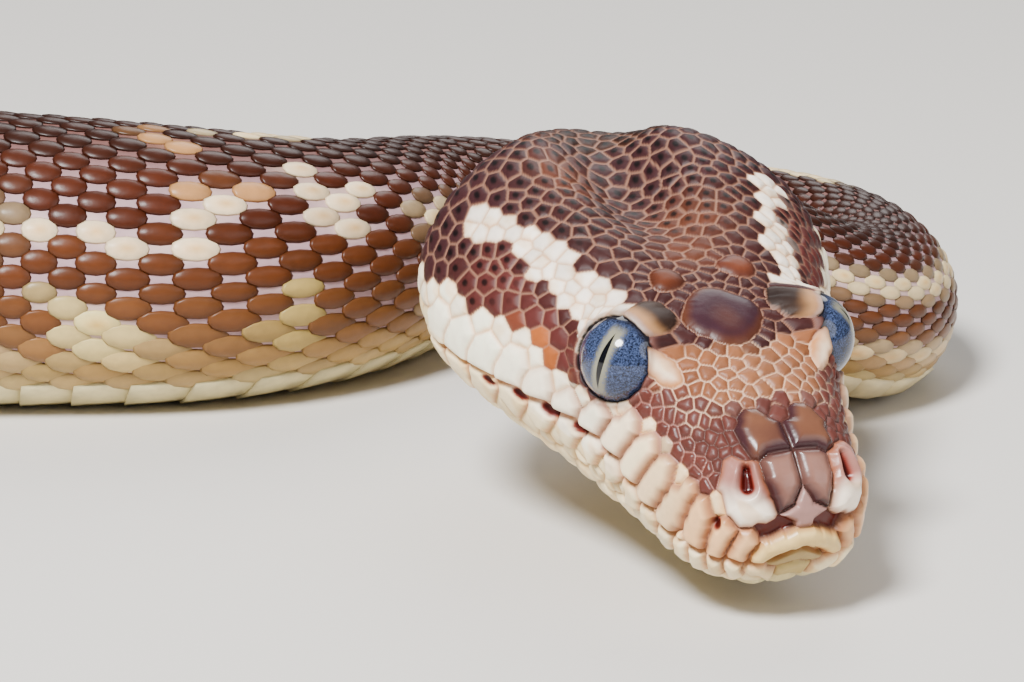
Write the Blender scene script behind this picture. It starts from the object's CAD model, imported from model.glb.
# %% [markdown]
# # A rough-scaled python, dressed for a museum case
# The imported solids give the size, the pose and the place of every part. This lesson lays one
# skin over them, then the scales of the body, the plates of the head and the two eyes.
# Distances along the snake run in millimetres from the tip of the snout.

# %% Load the solids
import math

import bmesh
import bpy
import numpy as np
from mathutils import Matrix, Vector
from mathutils.kdtree import KDTree


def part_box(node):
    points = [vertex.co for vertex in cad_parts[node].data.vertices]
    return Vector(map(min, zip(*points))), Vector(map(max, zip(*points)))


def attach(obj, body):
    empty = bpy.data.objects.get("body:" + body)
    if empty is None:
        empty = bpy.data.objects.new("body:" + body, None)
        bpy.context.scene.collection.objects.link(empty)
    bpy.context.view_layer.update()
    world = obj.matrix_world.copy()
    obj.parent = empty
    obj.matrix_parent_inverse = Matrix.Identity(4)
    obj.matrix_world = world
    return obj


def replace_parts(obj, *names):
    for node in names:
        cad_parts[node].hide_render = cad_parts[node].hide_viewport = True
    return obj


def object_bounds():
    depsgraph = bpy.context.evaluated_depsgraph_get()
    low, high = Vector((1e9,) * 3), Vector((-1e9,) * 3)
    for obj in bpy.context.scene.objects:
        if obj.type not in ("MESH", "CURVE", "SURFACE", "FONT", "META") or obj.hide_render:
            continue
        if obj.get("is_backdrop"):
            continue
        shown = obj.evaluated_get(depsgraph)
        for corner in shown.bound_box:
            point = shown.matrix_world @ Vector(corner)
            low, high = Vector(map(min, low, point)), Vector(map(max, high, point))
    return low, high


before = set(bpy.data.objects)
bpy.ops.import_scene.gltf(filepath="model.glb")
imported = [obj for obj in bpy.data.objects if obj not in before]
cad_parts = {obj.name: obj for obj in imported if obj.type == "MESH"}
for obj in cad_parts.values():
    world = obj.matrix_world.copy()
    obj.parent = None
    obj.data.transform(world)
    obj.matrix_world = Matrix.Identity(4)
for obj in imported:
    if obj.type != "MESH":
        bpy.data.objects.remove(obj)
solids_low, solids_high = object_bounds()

print("solids", [round(v, 4) for v in (*solids_low, *solids_high)])

# %% Small helpers
def unit(v):
    """Vectors of length one."""
    return v / np.maximum(np.linalg.norm(v, axis=-1, keepdims=True), 1e-9)


def step(value, low, high):
    """0 below `low`, 1 above `high`, eased between them."""
    t = np.clip((value - low) / (high - low), 0, 1)
    return t * t * (3 - 2 * t)


def between(value, low, low_end, high, high_end):
    """1 from `low_end` to `high`, eased down to 0 on both sides."""
    return step(value, low, low_end) * (1 - step(value, high, high_end))


def hump(value, wide):
    """1 at 0, about a third at `wide`, nothing far away."""
    return np.exp(-(value / wide) ** 2)


def mix(first, second, share):
    """Two colours blended: a share of 1 is all of the second."""
    share = np.clip(share, 0, 1)[..., None]
    return first * (1 - share) + second * share


def drift(x, y, seed):
    """A smooth field of about -1 to 1, as a sum of a few waves."""
    waves = np.random.RandomState(seed).uniform(-1, 1, (7, 3))
    total = sum(np.sin(a * 3.1 * x + b * 3.1 * y + c * 9.0) for a, b, c in waves)
    return total / 3.0


def rgb(red, green, blue):
    """A colour as 0 to 255 figures, made linear."""
    value = np.array([red, green, blue]) / 255.0
    return np.where(value < 0.04045, value / 12.92, ((value + 0.055) / 1.055) ** 2.4)


# %% [markdown]
# ## The course of the body
# A snake is a tube along a curve. The curve is told as a few bends, each with a length and a
# turn, and ends in a coil whose radius shrinks by one body width for each winding. The bends
# are eased into each other by averaging, so that nothing kinks.

# %% Named sizes of the animal
LENGTH = 1800.0
SNOUT_YAW = -67.0
SNOUT_DIP = 21.9
SNOUT_HEIGHT = 6.5
SKULL = 46.0
LANDING = 102.0
EYE_RADIUS = 4.4
EYE_AT = (21.6, 9.4, 7.9)
JAW_ROLL = 4.0
BELLY_FLAT = 0.90
SECTIONS = np.array([
    (0.0, 2.6, 3.9, 1.4), (0.5, 4.6, 5.2, 2.8), (1.5, 6.4, 6.8, 4.4), (4.0, 8.5, 8.7, 6.2),
    (10.0, 10.3, 10.7, 8.4), (16.0, 11.9, 12.0, 9.6), (22.0, 13.6, 12.7, 10.4),
    (29.0, 16.4, 13.2, 11.0), (36.0, 19.2, 13.9, 11.5), (43.0, 20.7, 14.2, 11.6),
    (49.0, 19.7, 13.9, 11.4), (55.0, 15.4, 12.6, 10.6), (62.0, 11.0, 10.8, 10.0),
    (75.0, 10.5, 10.2, 10.2), (120.0, 11.2, 10.8, 10.8), (150.0, 12.2, 11.7, 11.7),
    (175.0, 14.0, 13.4, 13.4), (200.0, 16.4, 15.7, 15.7), (225.0, 17.6, 16.8, 16.8),
    (265.0, 18.2, 17.3, 17.3), (500.0, 18.8, 17.8, 17.8), (900.0, 19.2, 18.1, 18.1),
    (1250.0, 17.8, 16.9, 16.9), (1450.0, 13.8, 13.2, 13.2), (1530.0, 11.2, 10.8, 10.8),
    (1560.0, 9.4, 9.1, 9.1), (1660.0, 6.3, 6.2, 6.2), (1750.0, 3.4, 3.4, 3.4),
    (1800.0, 1.5, 1.5, 1.5)])
BENDS = [(24.0, 0.0), (24.0, -8.0), (31.0, -101.8), (50.0, 166.0), (22.0, 0.0), (23.0, 76.0),
         (33.0, -65.0), (182.0, 0.0)]
COIL_RADIUS = 134.0
COIL_PITCH = 41.5
COIL_OVAL = 0.10
EASING = 12.0
COIL_LEAST = 18.0
PACE = 0.5
print("a snake", LENGTH, "mm long with eyes", 2 * EYE_RADIUS, "mm across")


# %% Centreline and frame at every half millimetre
def smooth_table(at, table):
    """Value of each later column at the distances of `at`, by cubics through the rows."""
    table = np.asarray(table, float)
    at = np.clip(at, table[0, 0], table[-1, 0])
    slope = np.gradient(table[:, 1:], table[:, 0], axis=0)
    row = np.clip(np.searchsorted(table[:, 0], at) - 1, 0, len(table) - 2)
    gap = (table[row + 1, 0] - table[row, 0])[:, None]
    t = (at - table[row, 0])[:, None] / gap
    return ((1 + 2 * t) * (1 - t) ** 2 * table[row, 1:] + t * (1 - t) ** 2 * gap * slope[row]
            + t * t * (3 - 2 * t) * table[row + 1, 1:] + t * t * (t - 1) * gap * slope[row + 1])


def course():
    """Distances, centreline points and tangents, one for every pace."""
    at = np.arange(0.0, LENGTH + PACE, PACE)
    bend = np.zeros_like(at)
    start = 0.0
    for length, turn in BENDS:
        bend[(at >= start) & (at < start + length)] = math.radians(turn) / length
        start += length
    coil = at >= start
    radius = np.sqrt(np.maximum(COIL_RADIUS ** 2 - COIL_PITCH * (at - start) / math.pi,
                                COIL_LEAST ** 2))
    bend[coil] = -1.0 / radius[coil]
    window = np.hanning(int(2 * EASING / PACE) + 1)
    bend = np.convolve(np.pad(bend, len(window) // 2, "edge"), window / window.sum(), "valid")
    heading = math.radians(SNOUT_YAW + 180) + np.concatenate([[0], np.cumsum(bend[:-1] * PACE)])
    oval = np.where(coil, COIL_OVAL, 0) * np.clip((at - start) / 150, 0, 1)
    heading = heading + oval * np.sin(2 * heading)

    slope = math.sin(math.radians(SNOUT_DIP))
    height = SNOUT_HEIGHT + slope * at
    depth = smooth_table(at, SECTIONS)[:, 2] * BELLY_FLAT
    t = np.clip((at - SKULL) / (LANDING - SKULL), 0, 1)
    down = ((1 + 2 * t) * (1 - t) ** 2 * (SNOUT_HEIGHT + slope * SKULL)
            + t * (1 - t) ** 2 * (LANDING - SKULL) * slope + t * t * (3 - 2 * t) * depth)
    height = np.where(at < SKULL, height, np.where(at < LANDING, down, depth))
    rise = np.where(at < LANDING, np.gradient(height, PACE), 0.0)
    level = np.sqrt(1 - rise ** 2)
    tangent = np.stack([np.cos(heading) * level, np.sin(heading) * level, rise], 1)
    point = np.zeros_like(tangent)
    point[1:] = np.cumsum((tangent[1:] + tangent[:-1]) / 2 * PACE, axis=0)
    point[:, 2] = height
    return at, point, tangent


AT, POINT, TANGENT = course()
LEFT = unit(np.cross(TANGENT, (0.0, 0.0, 1.0)))
UP = np.cross(LEFT, TANGENT)
LEAN = np.radians(JAW_ROLL) * np.interp(AT, (22, 42, 54, 78), (0, 1, 1, 0))[:, None]
TRACK = np.hstack([POINT, TANGENT, LEFT * np.cos(LEAN) + UP * np.sin(LEAN),
                   UP * np.cos(LEAN) - LEFT * np.sin(LEAN), smooth_table(AT, SECTIONS)])
print("course", len(AT), "points, ends at", POINT[-1].round(1))


# %% [markdown]
# ## From the course to the skin
# A place on the animal is a distance along it and a turn about it: 0 is the middle of the back,
# +90 the left flank and 180 the belly. The section is a soft square on the snout, rounder at
# the jaw muscles, and cut flat under the belly. A groove parts the two swellings of muscle at
# the back of the head.

# %% A point of the surface
WIDTH, TOP, DEPTH = 12, 13, 14  # columns of a row of the course
SIDEWAYS, UPWARD = slice(6, 9), slice(9, 12)
GROOVE_AT, GROOVE_LENGTH, GROOVE_WIDTH, GROOVE_DEPTH = 46.0, 12.0, 4.9, 5.2


def along(distance):
    """Rows of the course at those distances: point, tangent, left, up and the three sizes."""
    place = np.clip(distance / PACE, 0, len(AT) - 1.001)
    low = place.astype(int)
    part = (place - low)[:, None]
    return TRACK[low] * (1 - part) + TRACK[low + 1] * part


def squareness(distance, above):
    """Power of the section's outline: 2 is an ellipse, and more is squarer."""
    return np.where(above, 2.5 - 0.6 * np.clip((distance - 20) / 20, 0, 1),
                    2.3 - 0.25 * np.clip((distance - 48) / 16, 0, 1))


def section(distance, turn, row, inset):
    """Sideways and upward place on the section. `turn` is in radians."""
    cos, sin = np.cos(turn), np.sin(turn)
    power = 2 / squareness(distance, cos > 0)
    side = (row[:, WIDTH] - inset) * np.sign(sin) * np.abs(sin) ** power
    rise = np.sign(cos) * np.abs(cos) ** power
    top, depth = row[:, TOP] - inset, row[:, DEPTH] - inset
    rise = np.where(rise > 0, rise * top, rise * depth)
    groove = GROOVE_DEPTH * hump(distance - GROOVE_AT, GROOVE_LENGTH) * hump(side, GROOVE_WIDTH)
    rise = rise - groove * np.clip(rise / top * 4 - 1.6, 0, 1)
    low = row[:, DEPTH] * BELLY_FLAT - inset
    return side, np.where(distance > LANDING - 30, np.maximum(rise, -low), rise)


def skin_at(distance, turn, inset=0.0):
    """(points, outward directions) in millimetres, for arrays of distance and turn."""
    distance, turn = np.broadcast_arrays(np.asarray(distance, float), np.asarray(turn, float))
    row, nudge = along(distance), 0.02
    side, rise = section(distance, turn, row, inset)
    side_b, rise_b = section(distance, turn + nudge, row, inset)
    side_a, rise_a = section(distance, turn - nudge, row, inset)
    run = unit(np.stack([side_b - side_a, rise_b - rise_a], 1) + 1e-12)
    left, up = row[:, SIDEWAYS], row[:, UPWARD]
    out = unit(-run[:, 1:] * left + run[:, :1] * up)
    return row[:, :3] + side[:, None] * left + rise[:, None] * up, out


def head_place(back, left, up):
    """A place on the head, measured from the tip of the mouth."""
    return POINT[0] + back * TANGENT[0] + left * LEFT[0] + up * UP[0]


eye_low, eye_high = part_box("eye_right")
eye_middle = np.array(eye_low + eye_high) * 500.0
SHIFT = eye_middle - head_place(EYE_AT[0], -EYE_AT[1], EYE_AT[2])
SHIFT[2] = 0.0
print("the course lies", SHIFT.round(2), "mm from the frame")


# %% [markdown]
# ## Markings
# The back is chocolate, the flanks turn caramel, and the belly is cream. Flecks of cream run
# along the side and break over the back. One function gives the colour of any place, and both
# the skin and the scales read it, so that no seam of colour shows between them.

# %% Colours and the pattern of the body
CHOCOLATE, REDBROWN, BROWN = rgb(42, 16, 6), rgb(66, 27, 11), rgb(84, 43, 19)
CARAMEL, HONEY = rgb(104, 62, 31), rgb(136, 96, 54)
CREAM, BELLY, OLIVE = rgb(228, 204, 156), rgb(218, 206, 156), rgb(172, 142, 84)
BETWEEN, BETWEEN_TOP = rgb(184, 152, 158), rgb(112, 76, 70)
FLECKS = (  # places of single scales on the right side: colour, then distance and turn in degrees
    (rgb(176, 126, 78), [(200, -42), (196, -48), (206, -1), (203.5, -11), (202.5, -20)]),
    (rgb(176, 150, 86), [(194, -88), (194, -96), (194.5, -104), (194.5, -111)]),
    (rgb(226, 206, 140), [(215, -92), (210.5, -94), (212.5, -99), (208.5, -99), (210.5, -105),
                          (208.5, -107), (210.5, -115), (206, -113)]),
    (rgb(236, 212, 174), [(215, -62), (209.5, -61), (206, -68), (203, -68), (200.5, -56),
                          (199, -48), (192.5, -32), (191, -41), (189.5, -47), (189.5, -54),
                          (189, -61), (186.5, -46)]))
FLECK_LENGTH, FLECK_WIDTH, FLECK_RADIUS = 1.9, 1.5, 16


def body_markings(distance, turn):
    """Linear colours of the trunk, neck and tail."""
    degrees = np.degrees((turn + math.pi) % (2 * math.pi) - math.pi)
    round_ = np.abs(degrees)
    flank = np.sign(np.sin(turn))
    x = distance / 22.0
    wave = 8 * drift(x * 0.55, flank * 2.0, 3)
    colour = CHOCOLATE
    for darker, share, first, last in ((REDBROWN, 1, 22, 42), (BROWN, 1, 58, 76),
                                       (CARAMEL, 0.6, 82, 100), (HONEY, 0.5, 102, 114),
                                       (OLIVE, 0.3, 112, 124), (BELLY, 0, 126, 140)):
        colour = mix(colour, darker, step(round_ + wave * share, first, last))
    line = 78 - 18 * step(distance, 236, 216) + 9 * drift(x * 0.9, flank * 3.0, 5)
    low_line = 112 + 6 * drift(x, flank, 11)
    fleck = np.maximum(
        hump(round_ - line, 7.5) * step(drift(x * 1.3, round_ / 40, 8), -0.75, -0.25),
        hump(round_ - low_line, 6.0) * step(drift(x * 0.9, flank * 5.0, 17), 0.15, 0.45))
    saddle = step(np.cos(distance / 11.5 + 2.2 * drift(x * 0.3, 0, 21) + flank * 0.6), 0.84, 0.97)
    saddle = saddle * (1 - step(round_, 26, 60)) * step(drift(x * 1.1, round_ / 30, 23), -0.5, 0.0)
    saddle = saddle * step(distance, 60, 64)
    told = between(distance, 178, 184, 216, 222) * (flank < 0)
    colour = mix(colour, CREAM, np.maximum(fleck, saddle * 0.95) * (1 - told))
    for tint, spots in FLECKS:
        for s, t in spots:
            apart = np.hypot((distance - s) / FLECK_LENGTH,
                             np.radians(degrees - t) * FLECK_RADIUS / FLECK_WIDTH)
            colour = mix(colour, tint, 1 - step(apart, 0.8, 1.15))
    return colour


print("flecks of their own", sum(len(spots) for _, spots in FLECKS))


# %% [markdown]
# The head has its own plan: a pale stripe runs from above the eye to the back of the jaw, with
# a dark band under it, then the cream cheek and lips. The snout is mauve-brown with a band of
# small tan scales behind the nose plates.

# %% The pattern of the head
CROWN, REAR, WARM = rgb(50, 22, 21), rgb(50, 24, 26), rgb(98, 52, 32)
STRIPE, CHEEK, LIP = rgb(244, 230, 214), rgb(252, 238, 212), rgb(250, 214, 164)
TAWNY, TEMPLE, BAND = rgb(156, 82, 34), rgb(78, 35, 32), rgb(112, 62, 36)
MAUVE, TAN, LOWER_LIP = rgb(84, 41, 34), rgb(146, 94, 60), rgb(240, 220, 176)
WARM_SPOTS = ((37.2, 3.5, 3.6), (46.0, -5.5, 3.0), (31.5, 1.0, 2.6))  # distance, side, width
BAND_TOP = ([0, 2.4, 4.2, 6.2, 8], [16.6, 17.1, 17.8, 18.4, 20.0])  # by side: distance
BAND_LOW = ([0, 2.1, 2.9, 5.1, 6.3, 7.6, 8.8, 9.6],
            [11.5, 11.1, 10.2, 10.6, 12.4, 14.4, 15.9, 18.5])
STRIPE_TOP = ([19.0, 24, 26, 27.3, 29, 31, 33.3, 35.7, 39.3, 42.6, 44.4, 46.5],  # by distance:
              [33, 33, 33, 34, 38.9, 38.7, 40, 41, 45.8, 46.7, 51.7, 64])        # degrees
STRIPE_LOW = ([21.5, 24, 26, 30, 33.3, 36.3, 38.7, 39.6, 41, 45.3, 46.5],
              [58, 58, 54, 53, 55, 52.8, 52.2, 56.5, 61, 65, 64])
LIP_EDGE = ([0, 2.6, 3.6, 4.8, 8.4, 10.8, 13.5, 15.5, 17, 19.5, 21, 24.6, 26.1, 28, 30.3, 32.4, 36,
             39.6, 42, 48, 56], [3.0, 3.3, 4.7, 5.4, 5.2, 5.2, 6.0, 6.5, 6.4, 5.2, 4.9, 4.4, 4.6,
                                 5.4, 5.5, 4.8, 4.4, 4.3, 3.5, 1.5, -3])


def head_markings(distance, turn, side, rise):
    """Linear colours of the head, by place on its section."""
    degrees = np.abs(np.degrees((turn + math.pi) % (2 * math.pi) - math.pi))
    away, soft = np.abs(side), 0.5 * drift(distance / 6.0, side / 6.0, 31)
    colour = mix(CROWN, REAR, step(distance + 6 * soft, 38, 46))
    for s, t, wide in WARM_SPOTS:
        spot = hump(distance - s, wide) * hump(side - t, wide)
        colour = mix(colour, WARM, 0.75 * spot * (degrees < 70))
    colour = mix(colour, TEMPLE, step(degrees, 54, 60) * (1 - step(distance, 36, 44)))
    band_top = np.interp(away, *BAND_TOP) + 0.8 * soft
    band_low = np.interp(away, *BAND_LOW)
    front = 1 - step(distance, band_top - 0.4, band_top + 0.4)
    colour = mix(colour, mix(TAN, BAND, 0.45 + 0.9 * soft), front)
    colour = mix(colour, MAUVE, 1 - step(distance, band_low - 0.5, band_low + 0.5))
    colour = mix(colour, MAUVE, (1 - step(distance, 20, 22)) * step(degrees, 47, 52))
    top, low = np.interp(distance, *STRIPE_TOP), np.interp(distance, *STRIPE_LOW)
    pale = between(degrees, top - 0.1, top + 0.1, low - 0.1, low + 0.1)
    colour = mix(colour, STRIPE, pale * between(distance, 19.2, 19.6, 46.0, 46.4))
    edge = np.interp(distance, *LIP_EDGE) + 0.35 * soft
    tawny = step(edge + 1.2 - rise, 0.2, 0.4) * between(distance, 23, 25, 30, 33)
    colour = mix(colour, TAWNY, 0.9 * tawny)
    colour = mix(colour, mix(LIP, CHEEK, step(distance, 10, 22)), step(edge - rise, 0, 0.1))
    colour = mix(colour, LOWER_LIP, step(-0.8 - rise, 0, 0.5))
    colour = mix(colour, BELLY, step(degrees, 128, 150))
    return mix(colour, body_markings(distance, turn), step(distance + 3 * soft, 52.5, 53.5))


def markings(distance, turn, side, rise):
    """Linear colours of any place, from the head's plan in front and the body's behind."""
    near = distance < 62
    colour = body_markings(distance, turn)
    colour[near] = head_markings(distance[near], turn[near], side[near], rise[near])
    return colour


print("the stripe runs from", STRIPE_TOP[0][0], "to", STRIPE_TOP[0][-1], "mm")


# %% [markdown]
# ## Finishes
# Snake skin is satin, and the big plates of the head shine more. Each finish reads its colour
# from the mesh's own colour attribute, with a fine noise for the grain of keratin. What is the
# same all over is set on the shader's own socket.

# %% Helpers for nodes
def add_node(tree, kind, inputs=(), **settings):
    """A shader node. `inputs` gives sockets a figure, a colour or another node's output."""
    node = tree.nodes.new("ShaderNode" + kind)
    for key, value in settings.items():
        setattr(node, key, value)
    for key, value in dict(inputs).items():
        if isinstance(value, bpy.types.NodeSocket):
            tree.links.new(value, node.inputs[key])
        else:
            node.inputs[key].default_value = value
    return node


def new_finish(name, roughness, specular=0.5, coat=0.0, coat_roughness=0.03):
    """(material, its node tree, its shader)."""
    made = bpy.data.materials.new(name)
    made.use_nodes = True
    shader = made.node_tree.nodes["Principled BSDF"]
    for key, value in (("Roughness", roughness), ("Specular IOR Level", specular),
                       ("Coat Weight", coat), ("Coat Roughness", coat_roughness)):
        shader.inputs[key].default_value = value
    return made, made.node_tree, shader


# %% Materials of skin, scales and plates
GRAINS_PER_METRE, GRAIN_DEPTH = 900.0, 0.0002


def finish_of(name, roughness, specular, coat, grain, relief, painted=False):
    """Markings times a fine noise. A painted finish has its roughness in their alpha."""
    made, tree, shader = new_finish(name, roughness, specular, coat, 0.22)
    colour = add_node(tree, "Attribute", attribute_name="markings")
    place = add_node(tree, "TexCoord")
    noise = add_node(tree, "TexNoise", {"Vector": place.outputs["Object"],
                                        "Scale": GRAINS_PER_METRE, "Detail": 3.0})
    share = add_node(tree, "MapRange", {"Value": noise.outputs["Fac"], "To Min": 1 - grain,
                                        "To Max": 1 + grain})
    tint = add_node(tree, "VectorMath", {0: colour.outputs["Color"],
                                         "Scale": share.outputs["Result"]}, operation="SCALE")
    bump = add_node(tree, "Bump", {"Height": noise.outputs["Fac"], "Strength": relief,
                                   "Distance": GRAIN_DEPTH})
    tree.links.new(tint.outputs["Vector"], shader.inputs["Base Color"])
    tree.links.new(bump.outputs["Normal"], shader.inputs["Normal"])
    if painted:
        tree.links.new(colour.outputs["Alpha"], shader.inputs["Roughness"])
    return made


SKIN = finish_of("soft_skin", 0.60, 0.15, 0.0, 0.12, 0.25)
SCALE = finish_of("body_scale", 0.36, 0.24, 0.0, 0.18, 0.15)
PLATE = finish_of("head_plate", 0.38, 0.30, 0.06, 0.16, 0.20, painted=True)
CROWN_PLATE = finish_of("crown_plate", 0.45, 0.18, 0.0, 0.16, 0.20, painted=True)
print("finishes", [made.name for made in (SKIN, SCALE, PLATE, CROWN_PLATE)])


# %% [markdown]
# ## Meshes from arrays
# Thousands of scales are one template repeated, so their places are worked out as arrays and
# joined into a few meshes. Each mesh carries its colours and a map for the bake.

# %% Helpers for meshes and objects
def put(name, data):
    """A new object of the scene."""
    made = bpy.data.objects.new(name, data)
    bpy.context.scene.collection.objects.link(made)
    return made


def finished(mesh, finish):
    """A smooth piece of the snake from a mesh that is in its place."""
    made = put(mesh.name, mesh)
    mesh.materials.append(finish)
    mesh.polygons.foreach_set("use_smooth", np.ones(len(mesh.polygons), bool))
    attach(made, "root")
    return made


def mesh_of(name, bm):
    """The shape of a bmesh as a new mesh."""
    mesh = bpy.data.meshes.new(name)
    bm.to_mesh(mesh)
    bm.free()
    return mesh


def points_and_faces(bm):
    """The shape of a bmesh as arrays, to be repeated."""
    points = np.array([v.co for v in bm.verts])
    faces = [[v.index for v in f.verts] for f in bm.faces]
    bm.free()
    return points, faces


def vectors_of(items, key):
    """One vector of each item, as rows."""
    flat = np.empty(len(items) * 3, np.float32)
    items.foreach_get(key, flat)
    return flat.reshape(-1, 3)


def keep_vectors(mesh, name, vectors):
    """One vector kept on each corner of the mesh."""
    layer = mesh.attributes.new(name, "FLOAT_VECTOR", "POINT")
    layer.data.foreach_set("vector", vectors.astype(np.float32).ravel())


def paint(mesh, colour, roughness=1.0):
    """Markings on each corner, with the roughness as their alpha."""
    rgba = np.ones((len(mesh.vertices), 4), np.float32)
    rgba[:, :3] = colour
    rgba[:, 3] = roughness
    layer = mesh.color_attributes.new("markings", "FLOAT_COLOR", "POINT")
    layer.data.foreach_set("color", rgba.ravel())


def bake_map(mesh, u, v):
    """The map for the bake, from 0 to 1 round the skin and along it."""
    corner = np.empty(len(mesh.loops), np.int32)
    mesh.loops.foreach_get("vertex_index", corner)
    uv = 0.01 + 0.98 * np.stack([u, v], -1).reshape(-1, 2)
    layer = mesh.uv_layers.new(name="OFBake")
    layer.data.foreach_set("uv", uv.astype(np.float32)[corner].ravel())


def place_all(mesh, points):
    """Millimetres on the course to metres in the frame, kept within the box of the solids."""
    metres = np.clip((points + SHIFT) * 0.001, solids_low, solids_high)
    mesh.vertices.foreach_set("co", metres.astype(np.float32).ravel())
    mesh.update()


def flat_grid(name, rows, columns):
    """(mesh, row of each corner, its share of the way round). It is placed as a tube later."""
    bm = bmesh.new()
    bmesh.ops.create_grid(bm, x_segments=columns, y_segments=rows - 1, size=0.5)
    mesh = mesh_of(name, bm)
    flat = vectors_of(mesh.vertices, "co") + 0.5
    return mesh, np.rint(flat[:, 1] * (rows - 1)).astype(int), flat[:, 0]


def close_seam(mesh, within=2e-6):
    """Merge the corners where a tube meets itself and where its ends shrink to a point."""
    bm = bmesh.new()
    bm.from_mesh(mesh)
    bmesh.ops.remove_doubles(bm, verts=bm.verts, dist=within)
    bmesh.ops.recalc_face_normals(bm, faces=bm.faces)
    bm.to_mesh(mesh)
    bm.free()
    mesh.update()


# %% [markdown]
# ## The skin
# One closed skin runs from the snout to the tail. It lies under the scales by their depth, so
# that the pale skin shows between them, and it stands for all the solids of flesh.

# %% Lay the skin
SKIN_DEPTH = 0.80
SKIN_COLUMNS = 56
TUBE_START, COAT_START, TIP_RISE = 2.4, 60.0, 1.2
tube_at = np.concatenate([[TUBE_START] * 3, np.linspace(2.42, COAT_START, 90),
                          np.arange(62.5, 330, 2.5), np.arange(334, LENGTH, 4.0), [LENGTH] * 2])
skin_mesh, row, across = flat_grid("python_skin", len(tube_at), SKIN_COLUMNS)
turn = (across * 2 - 1) * math.pi
distance = tube_at[row]
inset = np.interp(tube_at, [0, 14, 22, 50, COAT_START], [2.3, 2.3, 1.7, 1.7, SKIN_DEPTH])[row]
inset = inset + 0.5 * step(np.abs(turn), 2.40, 2.55) * step(distance, COAT_START, 70)
points, _ = skin_at(distance, turn, inset)
shrink = np.ones(len(tube_at))
shrink[:3] = (0.0, 0.45, 0.8)
shrink[-1] = 0.0
centre = along(distance)
middle = centre[:, :3] + TIP_RISE * centre[:, UPWARD] * (distance[:, None] < 3)
points = middle + (points - middle) * shrink[row][:, None]
points[:, 2] = np.maximum(points[:, 2], 0.25)
side = ((points - centre[:, :3]) * centre[:, SIDEWAYS]).sum(1)
rise = ((points - centre[:, :3]) * centre[:, UPWARD]).sum(1)
gap_tint = mix(BETWEEN_TOP, BETWEEN, step(np.abs(turn), 0.3, 1.0))
scaled = step(distance, 54, 64) * (1 - step(np.abs(turn), 2.2, 2.5))
paint(skin_mesh, mix(markings(distance, turn, side, rise), gap_tint, 0.80 * scaled))
place_all(skin_mesh, points)
close_seam(skin_mesh)
skin = finished(skin_mesh, SKIN)
flesh = [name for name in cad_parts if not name.startswith("eye")]
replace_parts(skin, *flesh)
print("skin", len(skin_mesh.polygons), "faces, for", len(flesh), "solids")

# %% [markdown]
# ## Scales of the trunk
# Each scale is a low oval dome with a faint keel, closed underneath and sunk a little into the
# skin. Their centres make a lattice in which every second row is shifted by half a scale. On
# the belly one wide plate spans the body for each row of scales.

# %% Copies of a template
def template(around, up):
    """A unit ball of `around` by `up` segments: (points, faces)."""
    bm = bmesh.new()
    bmesh.ops.create_uvsphere(bm, u_segments=around, v_segments=up, radius=1.0)
    return points_and_faces(bm)


def joined(name, points, faces, u, v, colour):
    """Copies of one template as one piece. The arrays are (copies, corners) and then n."""
    copies, corners = u.shape
    flat = np.concatenate(faces)
    loops = (flat[None, :] + corners * np.arange(copies)[:, None]).ravel()
    sizes = np.tile([len(f) for f in faces], copies)
    mesh = bpy.data.meshes.new(name)
    mesh.vertices.add(copies * corners)
    mesh.loops.add(len(loops))
    mesh.polygons.add(len(sizes))
    mesh.loops.foreach_set("vertex_index", loops.astype(np.int32))
    mesh.polygons.foreach_set("loop_start", (np.cumsum(sizes) - sizes).astype(np.int32))
    place_all(mesh, points)
    mesh.update(calc_edges=True)
    paint(mesh, colour.reshape(-1, 3))
    bake_map(mesh, u, v)
    finished(mesh, SCALE)
    print(name, copies, "copies of", len(faces), "faces")


# %% Lattice of scales along the trunk
HALF_COAT = math.radians(136)  # how far down each flank the scales reach
FINE_UNTIL = 330.0
PATCH = 0.00143  # half the width of a scale's patch on the map
ZONES = [(61.0, 1440.0, 44, 0.33), (1440.0, 1570.0, 34, 0.36), (1570.0, 1690.0, 22, 0.42),
         (1690.0, 1794.0, 12, 0.55)]  # first and last distance, rows, pitch as a share of radius
MOST_TRIANGLES = 190000
rng = np.random.RandomState(7)


def local_radius(distance):
    """Mean of the half width and the height there."""
    row = along(np.atleast_1d(distance))
    return (row[:, WIDTH] + row[:, TOP]) / 2


def scale_rows(first, last, rows, pitch_share):
    """Centres (distance, turn, length, width) of the scales between two distances."""
    centres, distance, odd = [], first, 0
    spacing = HALF_COAT * 2 / rows
    while distance < last:
        radius = float(local_radius(distance)[0])
        pitch = pitch_share * radius
        turns = np.arange(-rows // 2, rows // 2 + 1)
        centres += [(distance, turn, pitch, spacing * radius * 1.02)
                    for turn in turns[(turns + odd) % 2 == 0] * spacing
                    if abs(turn) < HALF_COAT - 0.02]
        distance += pitch / 2
        odd = 1 - odd
    return np.array(centres)


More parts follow.
